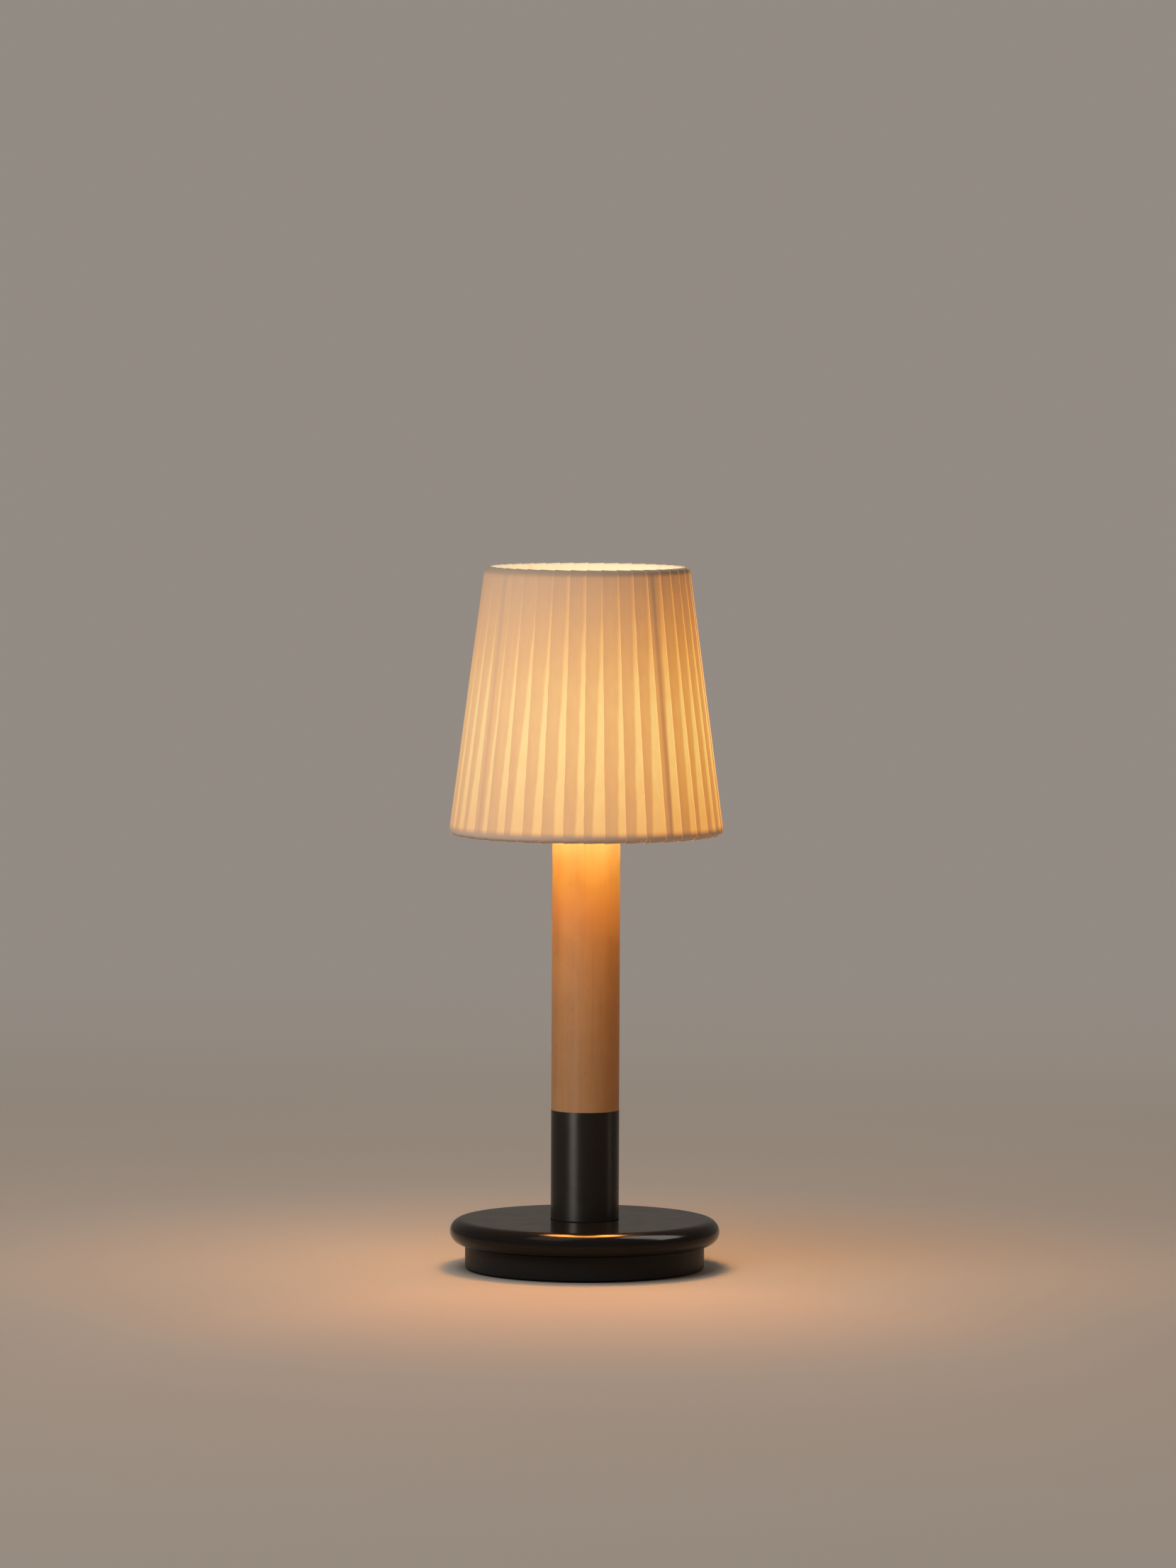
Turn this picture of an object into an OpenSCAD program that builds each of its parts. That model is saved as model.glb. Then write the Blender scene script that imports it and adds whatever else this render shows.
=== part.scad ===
// Cordless table lamp: a round metal base, a turned wooden stem and a tapered shade wound in ribbon.
// Millimetres, +Z up. The origin is the centre of the base on the table, and the front faces -Y.

/* [Lamp] */
// Height from the table to the top of the shade
lamp_h = 400; // [370:1:430]

/* [Shade] */
// Height of the shade over its ribbons
shade_h = 152.2; // [130:0.1:170]
// Outer diameter at the top of the shade
shade_top_d = 117; // [105:0.5:130]
// Outer diameter at the bottom of the shade
shade_bottom_d = 155; // [145:0.5:170]
// Number of ribbons round the shade
ribbon_count = 40; // [32:4:44]
// Width of a ribbon
ribbon_w = 18; // [15:0.5:20]
// Thickness of a ribbon
ribbon_t = 0.25; // [0.15:0.05:0.35]
// Length of the tail that a ribbon turns in past each ring
ribbon_tail = 5; // [3:0.5:6]
// Wire diameter of the top and bottom rings
ring_wire_d = 4; // [3.4:0.1:5]
// Wire diameter of the struts and of the spider's arms
strut_wire_d = 2.8; // [2:0.1:3.4]
// Direction of the first strut, counted from the front towards the right
strut_angle = 38.4; // [0:0.1:90]
// Height of the spider's arms above the bottom edge of the shade
fitter_rise = 12; // [11.5:0.5:20]
// Outer diameter of the spider's collar
collar_d = 36; // [34:0.5:38]
// Height of the collar
collar_h = 3.6; // [3.5:0.1:6]

/* [Light] */
// Outer diameter of the opal diffuser
diffuser_d = 26; // [24:0.5:28]
// Height of the diffuser
diffuser_h = 60; // [45:1:64]
// Wall of the diffuser
diffuser_wall = 1.6; // [1:0.1:2.4]
// Number of light chips
led_count = 6; // [3:1:6]

/* [Stem] */
// Diameter of the wooden stem
stem_d = 38.6; // [37:0.1:42]
// Height of the metal tube above the base
tube_h = 62.4; // [45:0.1:80]
// Wall of the metal tube
tube_wall = 2; // [1.2:0.1:3]
// Step by which the metal tube stands proud of the wood
tube_step = 0.1; // [0:0.05:0.3]
// Length of the wooden tenon inside the metal tube
tenon_h = 28; // [15:1:35]
// Diameter of the hollow rod that clamps the stem to the base
rod_d = 9.8; // [8.6:0.1:12]
// Bore of the rod
rod_bore_d = 7; // [5.6:0.1:7.4]

/* [Base] */
// Diameter of the base disc over its round edge
disc_d = 153.6; // [146:0.2:170]
// Thickness of the base disc
disc_h = 14; // [13:0.5:18]
// Thickness of the disc over its pocket
web_t = 4; // [3:0.1:5]
// Width by which the disc overhangs the plinth
disc_overhang = 8.7; // [6:0.1:12]
// Height of the plinth above the table
plinth_h = 14.4; // [14:0.2:18]
// Wall of the plinth
plinth_wall = 3; // [2.4:0.1:3.6]
// Thickness of the bottom cover
cover_t = 2.4; // [2.2:0.1:3]
// Width of the rubber foot ring
foot_w = 8; // [5:0.5:8]
// Thickness of the foot ring
foot_t = 2; // [1.6:0.1:2.2]

/* [Battery and controls] */
// Width of a battery cell, across the base
cell_w = 50; // [40:0.5:52]
// Length of a battery cell, from front to back
cell_l = 28; // [24:0.5:29]
// Thickness of a battery cell
cell_t = 5; // [4:0.1:5.2]
// Width of the control board
board_w = 34; // [33:0.5:35]
// Length of the control board
board_l = 38; // [34:0.5:40]
// Diameter of the power button
button_d = 6; // [5:0.1:6.2]
// Travel of the power button
button_travel = 0.8; // [0.4:0.1:1]
// Width of the recess round the charging socket
port_w = 13; // [12:0.5:14]
// Height of the recess round the charging socket
port_h = 7; // [6.4:0.1:7]

/* [Hidden] */
$fn = 96;

// Overrun of every cut
cut = 1;
// Gap round a screw, pin or press-fitted piece
fit_gap = 0.05;
// Gap between pieces that slide together once, at assembly
slip_gap = 0.1;
// Gap between pieces that move on each other
turn_gap = 0.3;
// Gap at a welded joint of the wire frame
weld_gap = 0.05;

// Base disc and plinth
disc_r = disc_d / 2;
disc_edge_r = disc_h / 2;
disc_z = plinth_h;
disc_top = disc_z + disc_h;
pocket_z = disc_top - web_t;
plinth_r = disc_r - disc_overhang;
plinth_in_r = plinth_r - plinth_wall;
plinth_edge = 0.8;
plinth_lift = 0.6;
flange_w = 8;
flange_t = 2.2;
flange_z = disc_z - flange_t;
pocket_r = plinth_in_r - flange_w;

// Plinth screws, from below into the disc
corner_count = 4;
corner_turn = 360 / corner_count;
plinth_screw_turn = corner_turn / 4;
plinth_screw_r = 2;
plinth_screw_head_r = 3.5;
plinth_screw_head_h = 2.2;
plinth_screw_l = 10;
plinth_screw_ring = pocket_r + flange_w / 2;

// Bottom cover, its lugs and screws
cover_z = 0.8;
cover_top = cover_z + cover_t;
cover_r = plinth_in_r - turn_gap;
lug_r = 4;
lug_bite = 0.2;
lug_ring = plinth_in_r - lug_r + lug_bite;
lug_turn = corner_turn / 2;
cover_screw_r = 1.5;
cover_screw_head_r = 2.7;
cover_screw_head_h = 1.3;
cover_screw_l = 7;
cover_screw_sink = 1.5;

// Foot ring
foot_inset = 0.8;
foot_out_r = lug_ring - lug_r - foot_inset;
foot_in_r = foot_out_r - foot_w;

// Battery tray and two flat cells, one on the other, in a nest in front of the rod
tray_inset = 0.6;
tray_r = lug_ring - lug_r - tray_inset;
tray_t = 1;
tray_z = cover_top;
tray_top = tray_z + tray_t;
tray_screw_count = 2;
tray_screw_inset = 5;
tray_screw_ring = foot_in_r - tray_screw_inset;
tray_screw_r = 1.2;
tray_screw_head_r = 2.2;
tray_screw_head_h = 1.2;
tray_screw_l = 2.4;
small_hole_more = 0.2;
cell_count = 2;
cell_gap = 0.2;
cell_rear_y = -5.9;
cell_front_y = cell_rear_y - cell_l;
cell_z = tray_top + cell_gap;
cell_step = cell_t + slip_gap;
nest_wall = 1;
nest_h = 6;
nest_w = cell_w + 2 * cell_gap;
nest_l = cell_l + 2 * cell_gap;
nest_open_w = 36;
contact_x = 10;
contact_w = 5;
contact_t = 0.4;
contact_h = 8;
contact_y = cell_rear_y + fit_gap;
contact_z = cell_z + (cell_t + cell_step - contact_h) / 2;
guard_t = 0.8;
guard_h = 6;
guard_w = 2 * contact_x - contact_w - 2 * slip_gap;

// Control board
board_t = 1.6;
board_inset = 5.1;
board_rear = plinth_in_r - board_inset;
board_front = board_rear - board_l;
standoff_h = 0.8;
standoff_r = 2.2;
standoff_inset = 3;
standoff_rear_inset = 10;
board_z = tray_top + standoff_h;
board_top = board_z + board_t;
board_screw_r = 1;
board_screw_head_r = 1.8;
board_screw_head_h = 1.1;
board_screw_l = 3;
chip_size = [7, 7, 1];
chip_y = 12;
coil_size = [6, 6, 3];
coil_x = 9;
cell_lead_r = 0.6;
cell_lead_in = 2.5;

// Charging socket, button and light pipe at the back
socket_w = 9;
socket_h = 3.3;
socket_l = 7.4;
socket_wall = 0.35;
socket_depth = 6;
tongue_w = 6.6;
tongue_h = 0.7;
tongue_l = 5;
socket_x = -9;
socket_z = board_top + socket_h / 2;
socket_reach = 3.2;
socket_face = board_rear + socket_reach;
button_x = 10;
button_r = button_d / 2;
button_rise = 1.2;
button_z = board_top + button_rise;
button_proud = 0.8;
button_edge = 0.4;
button_flange_w = 0.8;
button_flange_t = 0.8;
button_flange_r = button_r + button_flange_w;
button_flange_y = sqrt(pow(plinth_in_r, 2) - pow(button_x + button_flange_r, 2)) - turn_gap;
button_back_y = button_flange_y - button_flange_t;
button_face_y = sqrt(pow(plinth_r, 2) - pow(button_x, 2)) + button_proud;
plunger_r = 0.9;
plunger_l = 2.4;
switch_size = [6, 6, 3.6];
switch_y = button_back_y - button_travel - turn_gap;
lens_x = 1.5;
lens_r = 1.2;
lens_foot = [2.6, 3, 2.8];
lens_y = board_rear - lens_foot[1];
lens_inset = 0.1;
lens_face_y = plinth_r - lens_inset;

// Rod, washer and nut
rod_r = rod_d / 2;
rod_bore_r = rod_bore_d / 2;
washer_plate_r = 14;
washer_plate_t = 2;
nut_af = 17;
nut_t = 5;
rod_tip = 2;
washer_plate_z = pocket_z - washer_plate_t;
nut_z = washer_plate_z - nut_t;
rod_z = nut_z - rod_tip;

// Metal tube and wooden stem
stem_r = stem_d / 2;
tube_r = stem_r + tube_step;
tube_bore_r = tube_r - tube_wall;
seat_depth = 0.5;
seam_gap = 0.25;
tube_z = disc_top - seat_depth;
tube_top = disc_top + tube_h;
spigot_h = 4;
stem_edge = 0.4;

// Seat of the shade, worked down from the shade
shade_z = lamp_h - shade_h;
arm_z = shade_z + fitter_rise;
collar_z = arm_z - collar_h / 2;
seat_t = 1;
seat_z = collar_z - seat_t;
head_flange_t = 3;
head_inset = 0.5;
head_flange_z = seat_z - head_flange_t;
stem_top = head_flange_z;
collar_r = collar_d / 2;
shoulder_w = 1.6;
head_spigot_r = diffuser_d / 2 + shoulder_w;
collar_bore_r = head_spigot_r + turn_gap;
spigot_show = 0.4;
shoulder_z = collar_z + collar_h + spigot_show;
hub_r = 9;
hub_h = 10;
boss_r = diffuser_d / 2 - diffuser_wall - slip_gap;
boss_h = 4;
boss_top = shoulder_z + boss_h;
rod_top = shoulder_z - rod_tip / 2;

// Light board, chips and screws
led_board_inset = 0.6;
led_board_r = boss_r - led_board_inset;
led_board_t = 1.2;
led_top = boss_top + led_board_t;
led_size = [2.8, 2.8, 0.7];
led_ring_share = 0.58;
led_ring = boss_r * led_ring_share;
led_screw_share = 0.76;
led_screw_x = boss_r * led_screw_share;
led_screw_r = 0.9;
led_screw_head_r = 1.5;
led_screw_head_h = 1;
led_screw_l = 4;
led_rest_turn = 30;

// Lead wires through the rod
wire_r = 0.7;
wire_x = 1.6;
wire_rise = 4.6;
wire_bend_r = 2.5;
wire_back = 5;

// Share of a screw head that its hexagonal drive takes, and share of its depth
drive_share = 0.5;
drive_depth_share = 0.6;

// Shade frame, inside the ribbons
ring_r = ring_wire_d / 2;
strut_r = strut_wire_d / 2;
ribbon_gap = 0.4;
layer_gap = 0.08;
layer_step = ribbon_t + layer_gap;
// A ribbon never reaches past its second neighbour: where they crowd, its edge is gathered in
most_lap = 2;
pitch_turn = 360 / ribbon_count;
top_lap = min(most_lap, ribbon_w / (PI * shade_top_d / ribbon_count));
bottom_lap = min(most_lap, ribbon_w / (PI * shade_bottom_d / ribbon_count));
top_wrap = ring_r + ribbon_gap + ribbon_t + top_lap * layer_step;
bottom_wrap = ring_r + ribbon_gap + ribbon_t + bottom_lap * layer_step;
top_ring_r = shade_top_d / 2 - top_wrap;
bottom_ring_r = shade_bottom_d / 2 - bottom_wrap;
top_ring_z = lamp_h - top_wrap;
bottom_ring_z = shade_z + bottom_wrap;
wall_lean = atan2(bottom_ring_r - top_ring_r, top_ring_z - bottom_ring_z);
strut_count = 4;
// The front is at -90 degrees
front_turn = -90;
ribbon_turn = -0.9;
hook_steps = 4;
// The ribbons' flats straddle the true circle by half of their sagitta
flat_share = 1 + (1 / cos(pitch_turn / 2) - 1) / 2;

// Shapes that repeat

// Copies round the axis, at a distance from it
module around(count, distance, turn = 0) {
    for (i = [0:count - 1])
        rotate(turn + i * 360 / count) translate([distance, 0, 0]) children();
}

// A screw: its head stands on the XY plane and its shank hangs below
module screw(shank_r, shank_l, head_r, head_h) {
    drive_h = head_h * drive_depth_share;
    difference() {
        union() {
            cylinder(r = head_r, h = head_h);
            translate([0, 0, -shank_l]) cylinder(r = shank_r, h = shank_l);
        }
        translate([0, 0, head_h - drive_h])
            cylinder(r = head_r * drive_share, h = drive_h + cut, $fn = 6);
    }
}

// A slot outline with round ends
module slot_outline(width, height) {
    reach = (width - height) / 2;
    square([2 * reach, height], center = true);
    for (side = [-1, 1]) translate([side * reach, 0]) circle(d = height);
}

// Moves its children to a height at the back, with their Z axis pointing out along +Y
module facing_back(x, y, z) {
    translate([x, y, z]) rotate([-90, 0, 0]) children();
}

// Base

module base_disc() {
    color("#241f1b") difference() {
        union() {
            translate([0, 0, disc_z]) rotate_extrude() {
                square([disc_r - disc_edge_r, disc_h]);
                translate([disc_r - disc_edge_r, disc_edge_r]) circle(r = disc_edge_r);
            }
            translate([0, 0, disc_top]) cylinder(r = tube_bore_r - slip_gap, h = spigot_h);
        }
        translate([0, 0, tube_z]) difference() {
            cylinder(r = tube_r + seam_gap, h = seat_depth + cut);
            translate([0, 0, -cut])
                cylinder(r = tube_bore_r - slip_gap, h = seat_depth + 3 * cut);
        }
        translate([0, 0, disc_z - cut]) cylinder(r = pocket_r, h = pocket_z - disc_z + cut);
        translate([0, 0, disc_z]) cylinder(r = rod_r + slip_gap, h = disc_h + spigot_h + cut);
        around(corner_count, plinth_screw_ring, plinth_screw_turn)
            translate([0, 0, disc_z - cut])
                cylinder(r = plinth_screw_r + fit_gap, h = plinth_screw_l - flange_t + 2 * cut);
    }
}

module plinth() {
    color("#211c19") difference() {
        union() {
            rotate_extrude() polygon([
                [plinth_in_r, plinth_lift],
                [plinth_r - plinth_edge, plinth_lift],
                [plinth_r, plinth_lift + plinth_edge],
                [plinth_r, disc_z],
                [pocket_r, disc_z],
                [pocket_r, flange_z],
                [plinth_in_r, flange_z]
            ]);
            around(corner_count, lug_ring, lug_turn)
                translate([0, 0, cover_top]) cylinder(r = lug_r, h = flange_z - cover_top);
        }
        around(corner_count, lug_ring, lug_turn)
            translate([0, 0, cover_top - cut])
                cylinder(r = cover_screw_r + fit_gap, h = cover_screw_l + cut);
        around(corner_count, plinth_screw_ring, plinth_screw_turn)
            translate([0, 0, flange_z - cut])
                cylinder(r = plinth_screw_r + fit_gap, h = flange_t + 2 * cut);
        facing_back(socket_x, plinth_in_r - 2 * plinth_wall, socket_z)
            linear_extrude(4 * plinth_wall) slot_outline(port_w, port_h);
        facing_back(button_x, plinth_in_r - 2 * plinth_wall, button_z)
            cylinder(r = button_r + turn_gap, h = 4 * plinth_wall);
        facing_back(lens_x, plinth_in_r - 2 * plinth_wall, socket_z)
            cylinder(r = lens_r + fit_gap, h = 4 * plinth_wall);
    }
}

module plinth_screws() {
    color("#8d8d8d") around(corner_count, plinth_screw_ring, plinth_screw_turn)
        translate([0, 0, flange_z]) rotate([180, 0, 0])
            screw(plinth_screw_r, plinth_screw_l, plinth_screw_head_r, plinth_screw_head_h);
}

module bottom_cover() {
    color("#1c1a18") translate([0, 0, cover_z]) difference() {
        cylinder(r = cover_r, h = cover_t);
        translate([0, 0, -cut]) difference() {
            cylinder(r = foot_out_r, h = foot_t - cover_z + cut);
            translate([0, 0, -cut]) cylinder(r = foot_in_r, h = foot_t + 3 * cut);
        }
        around(corner_count, lug_ring, lug_turn) {
            translate([0, 0, -cut]) cylinder(r = cover_screw_r + slip_gap, h = cover_t + 2 * cut);
            translate([0, 0, -cut])
                cylinder(r = cover_screw_head_r + slip_gap, h = cover_screw_sink + cut);
        }
        around(tray_screw_count, tray_screw_ring)
            translate([0, 0, cover_t - (tray_screw_l - tray_t) - small_hole_more])
                cylinder(r = tray_screw_r + fit_gap, h = tray_screw_l + cut);
    }
}

module cover_screws() {
    color("#3a3836") around(corner_count, lug_ring, lug_turn)
        translate([0, 0, cover_z + cover_screw_sink]) rotate([180, 0, 0])
            screw(cover_screw_r, cover_screw_l, cover_screw_head_r, cover_screw_head_h);
}

module foot_ring() {
    color("#2b2a29") difference() {
        cylinder(r = foot_out_r - slip_gap, h = foot_t);
        translate([0, 0, -cut]) cylinder(r = foot_in_r + slip_gap, h = foot_t + 2 * cut);
    }
}

// Battery

// A wall round the cells, open at the back for their contacts
module cell_nest() {
    out_w = nest_w + 2 * nest_wall;
    out_l = nest_l + 2 * nest_wall;
    translate([0, (cell_front_y + cell_rear_y) / 2, tray_top]) difference() {
        translate([-out_w / 2, -out_l / 2, 0]) cube([out_w, out_l, nest_h]);
        translate([-nest_w / 2, -nest_l / 2, -cut]) cube([nest_w, nest_l, nest_h + 2 * cut]);
        translate([-nest_open_w / 2, 0, -cut]) cube([nest_open_w, out_l, nest_h + 2 * cut]);
    }
}

module battery_tray() {
    color("#3b3b3d") difference() {
        union() {
            translate([0, 0, tray_z]) cylinder(r = tray_r, h = tray_t);
            cell_nest();
            board_places() translate([0, 0, tray_top]) cylinder(r = standoff_r, h = standoff_h);
        }
        board_places() translate([0, 0, tray_z - cut])
            cylinder(r = board_screw_r + fit_gap, h = tray_t + standoff_h + 2 * cut);
        around(tray_screw_count, tray_screw_ring) translate([0, 0, tray_z - cut])
            cylinder(r = tray_screw_r + fit_gap, h = tray_t + 2 * cut);
    }
}

module tray_screws() {
    color("#8d8d8d") around(tray_screw_count, tray_screw_ring) translate([0, 0, tray_top])
        screw(tray_screw_r, tray_screw_l, tray_screw_head_r, tray_screw_head_h);
}

// Flat wound cells with round long edges
module battery_cells() {
    color("#3f6f9a") for (i = [0:cell_count - 1])
        facing_back(0, cell_front_y, cell_z + i * cell_step + cell_t / 2)
            linear_extrude(cell_l) slot_outline(cell_w, cell_t);
}

// Tabs that join the back edges of both cells
module cell_contacts() {
    color("#c9c6bd") for (side = [-1, 1])
        translate([side * contact_x - contact_w / 2, contact_y, contact_z])
            cube([contact_w, contact_t, contact_h]);
}

// Protection board on the cells' back edges, between the tabs
module cell_guard() {
    color("#1f4a34") translate([-guard_w / 2, contact_y, contact_z + (contact_h - guard_h) / 2])
        cube([guard_w, guard_t, guard_h]);
}

// Short leads from the tabs to the control board
module cell_leads() {
    start_y = contact_y + contact_t;
    color("#b3342a") for (side = [-1, 1])
        facing_back(side * contact_x, start_y, board_top + cell_lead_r)
            cylinder(r = cell_lead_r, h = board_front + cell_lead_in - start_y);
}

// Controls

// The four places where the control board is screwed down
module board_places() {
    x = board_w / 2 - standoff_inset;
    for (side = [-1, 1]) {
        translate([side * x, board_front + standoff_inset, 0]) children();
        translate([side * x, board_rear - standoff_rear_inset, 0]) children();
    }
}

module control_board() {
    color("#1f4a34") difference() {
        union() {
            translate([-board_w / 2, board_front, board_z]) cube([board_w, board_l, board_t]);
            translate([-chip_size[0] / 2, board_front + chip_y, board_top]) cube(chip_size);
            translate([coil_x - coil_size[0] / 2, board_front + chip_y, board_top]) cube(coil_size);
        }
        board_places() translate([0, 0, board_z - cut])
            cylinder(r = board_screw_r + fit_gap, h = board_t + 2 * cut);
    }
}

module board_screws() {
    color("#8d8d8d") board_places() translate([0, 0, board_top])
        screw(board_screw_r, board_screw_l, board_screw_head_r, board_screw_head_h);
}

// Charging socket: a drawn shell with a tongue inside
module usb_socket() {
    color("#b9bcc0") facing_back(socket_x, socket_face - socket_l, socket_z) {
        difference() {
            linear_extrude(socket_l) slot_outline(socket_w, socket_h);
            translate([0, 0, socket_l - socket_depth]) linear_extrude(socket_depth + cut)
                slot_outline(socket_w - 2 * socket_wall, socket_h - 2 * socket_wall);
        }
        translate([-tongue_w / 2, -tongue_h / 2, socket_l - socket_depth])
            cube([tongue_w, tongue_h, tongue_l]);
    }
}

// Push switch on the board, with a well for the button's plunger
module switch_body() {
    color("#2c2c2e") difference() {
        translate([button_x - switch_size[0] / 2, switch_y - switch_size[1], board_top])
            cube(switch_size);
        facing_back(button_x, button_back_y - plunger_l - button_travel - turn_gap, button_z)
            cylinder(r = plunger_r + turn_gap, h = plunger_l + cut);
    }
}

// Light pipe for the charging lamp: it stands on the board and ends flush in the plinth's wall
module charge_lens() {
    color("#e8e4da") {
        translate([lens_x - lens_foot[0] / 2, lens_y, board_top]) cube(lens_foot);
        facing_back(lens_x, lens_y + lens_foot[1] / 2, socket_z)
            cylinder(r = lens_r, h = lens_face_y - lens_y - lens_foot[1] / 2);
    }
}

// Button cap with a flange behind the wall and a plunger into the switch
module power_button() {
    cap_l = button_face_y - button_back_y;
    color("#2a2623") facing_back(button_x, button_back_y, button_z) rotate_extrude() polygon([
        [0, -plunger_l],
        [plunger_r, -plunger_l],
        [plunger_r, 0],
        [button_flange_r, 0],
        [button_flange_r, button_flange_t],
        [button_r, button_flange_t],
        [button_r, cap_l - button_edge],
        [button_r - button_edge, cap_l],
        [0, cap_l]
    ]);
}

// Stem

module clamp_rod() {
    color("#a9a9a4") difference() {
        translate([0, 0, rod_z]) cylinder(r = rod_r, h = rod_top - rod_z);
        translate([0, 0, rod_z - cut]) cylinder(r = rod_bore_r, h = rod_top - rod_z + 2 * cut);
    }
}

module rod_nut() {
    color("#a9a9a4") translate([0, 0, nut_z]) difference() {
        cylinder(r = nut_af / 2 / cos(30), h = nut_t, $fn = 6);
        translate([0, 0, -cut]) cylinder(r = rod_r + fit_gap, h = nut_t + 2 * cut);
    }
}

module rod_washer() {
    color("#a9a9a4") translate([0, 0, washer_plate_z]) difference() {
        cylinder(r = washer_plate_r, h = washer_plate_t);
        translate([0, 0, -cut]) cylinder(r = rod_r + slip_gap, h = washer_plate_t + 2 * cut);
    }
}

module stem_tube() {
    color("#29241f") difference() {
        translate([0, 0, tube_z]) cylinder(r = tube_r, h = tube_top - tube_z);
        translate([0, 0, tube_z - cut]) cylinder(r = tube_bore_r, h = tube_top - tube_z + 2 * cut);
    }
}

module wood_stem() {
    color("#b07d4c") difference() {
        union() {
            translate([0, 0, tube_top - tenon_h])
                cylinder(r = tube_bore_r - slip_gap, h = tenon_h + stem_edge);
            translate([0, 0, tube_top]) cylinder(r = stem_r, h = stem_top - tube_top - stem_edge);
            translate([0, 0, stem_top - stem_edge])
                cylinder(r1 = stem_r, r2 = stem_r - stem_edge, h = stem_edge);
        }
        translate([0, 0, tube_top - tenon_h - cut])
            cylinder(r = rod_r + slip_gap, h = stem_top - tube_top + tenon_h + 2 * cut);
        translate([0, 0, stem_top - hub_h - small_hole_more])
            cylinder(r = hub_r + slip_gap, h = hub_h + small_hole_more + cut);
    }
}

// Light head

module lamp_head() {
    color("#b9b6ae") difference() {
        rotate_extrude() polygon([
            [0, stem_top - hub_h],
            [hub_r, stem_top - hub_h],
            [hub_r, head_flange_z],
            [stem_r - head_inset, head_flange_z],
            [stem_r - head_inset, seat_z],
            [head_spigot_r, seat_z],
            [head_spigot_r, shoulder_z],
            [boss_r, shoulder_z],
            [boss_r, boss_top],
            [0, boss_top]
        ]);
        translate([0, 0, stem_top - hub_h - cut])
            cylinder(r = rod_r + fit_gap, h = rod_top - stem_top + hub_h + cut);
        translate([0, 0, rod_top - cut]) cylinder(r = rod_bore_r, h = boss_top - rod_top + 2 * cut);
        for (side = [-1, 1]) translate([side * led_screw_x, 0, boss_top - led_screw_l + led_board_t])
            cylinder(r = led_screw_r + fit_gap, h = led_screw_l + cut);
    }
}

module led_board() {
    color("#e9e7e0") difference() {
        translate([0, 0, boss_top]) cylinder(r = led_board_r, h = led_board_t);
        for (side = [-1, 1]) translate([side * led_screw_x, 0, boss_top - cut])
            cylinder(r = led_screw_r + fit_gap, h = led_board_t + 2 * cut);
    }
}

module leds() {
    color("#ffd98a") around(led_count, led_ring, led_rest_turn)
        translate([-led_size[0] / 2, -led_size[1] / 2, led_top]) cube(led_size);
}

module led_screws() {
    color("#8d8d8d") for (side = [-1, 1]) translate([side * led_screw_x, 0, led_top])
        screw(led_screw_r, led_screw_l, led_screw_head_r, led_screw_head_h);
}

module diffuser() {
    out_r = diffuser_d / 2;
    in_r = out_r - diffuser_wall;
    dome_z = shoulder_z + diffuser_h - out_r;
    color("#fff0cf") difference() {
        union() {
            translate([0, 0, shoulder_z]) cylinder(r = out_r, h = diffuser_h - out_r);
            translate([0, 0, dome_z]) sphere(r = out_r);
        }
        translate([0, 0, shoulder_z - cut]) cylinder(r = in_r, h = diffuser_h - out_r + cut);
        translate([0, 0, dome_z]) sphere(r = in_r);
    }
}

// One lead: up from the board, across to the rod and up through it
module lead_wire() {
    across_z = board_top + wire_rise;
    start_y = board_front + wire_back;
    translate([0, start_y, board_top]) cylinder(r = wire_r, h = wire_rise - wire_bend_r);
    translate([0, start_y - wire_bend_r, across_z - wire_bend_r]) rotate([90, 0, 90])
        rotate_extrude(angle = 90) translate([wire_bend_r, 0]) circle(r = wire_r);
    translate([0, wire_bend_r, across_z]) rotate([-90, 0, 0])
        cylinder(r = wire_r, h = start_y - 2 * wire_bend_r);
    translate([0, wire_bend_r, across_z + wire_bend_r]) rotate([90, 0, 90]) rotate(180)
        rotate_extrude(angle = 90) translate([wire_bend_r, 0]) circle(r = wire_r);
    translate([0, 0, across_z + wire_bend_r])
        cylinder(r = wire_r, h = boss_top - across_z - wire_bend_r);
}

module lead_wires() {
    color("#a8332b") for (side = [-1, 1]) translate([side * wire_x, 0, 0]) lead_wire();
}

// Shade seat and spider

module seat_washer() {
    color("#d8d3c6") translate([0, 0, seat_z]) difference() {
        cylinder(r = collar_r, h = seat_t);
        translate([0, 0, -cut]) cylinder(r = collar_bore_r, h = seat_t + 2 * cut);
    }
}

module fitter_collar() {
    color("#cfcabd") translate([0, 0, collar_z]) difference() {
        cylinder(r = collar_r, h = collar_h);
        translate([0, 0, -cut]) cylinder(r = collar_bore_r, h = collar_h + 2 * cut);
    }
}

// A ring of wire round the axis
module wire_ring(radius, z, wire) {
    translate([0, 0, z]) rotate_extrude() translate([radius, 0]) circle(r = wire);
}

// The struts' wires run from ring centre to ring centre
module strut_wires(wire) {
    lean_l = norm([bottom_ring_r - top_ring_r, top_ring_z - bottom_ring_z]);
    around(strut_count, bottom_ring_r, front_turn + strut_angle)
        translate([0, 0, bottom_ring_z]) rotate([0, -wall_lean, 0])
            cylinder(r = wire, h = lean_l);
}

module frame_struts() {
    color("#d9d4c8") difference() {
        strut_wires(strut_r);
        wire_ring(top_ring_r, top_ring_z, ring_r + weld_gap);
        wire_ring(bottom_ring_r, bottom_ring_z, ring_r + weld_gap);
    }
}

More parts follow.
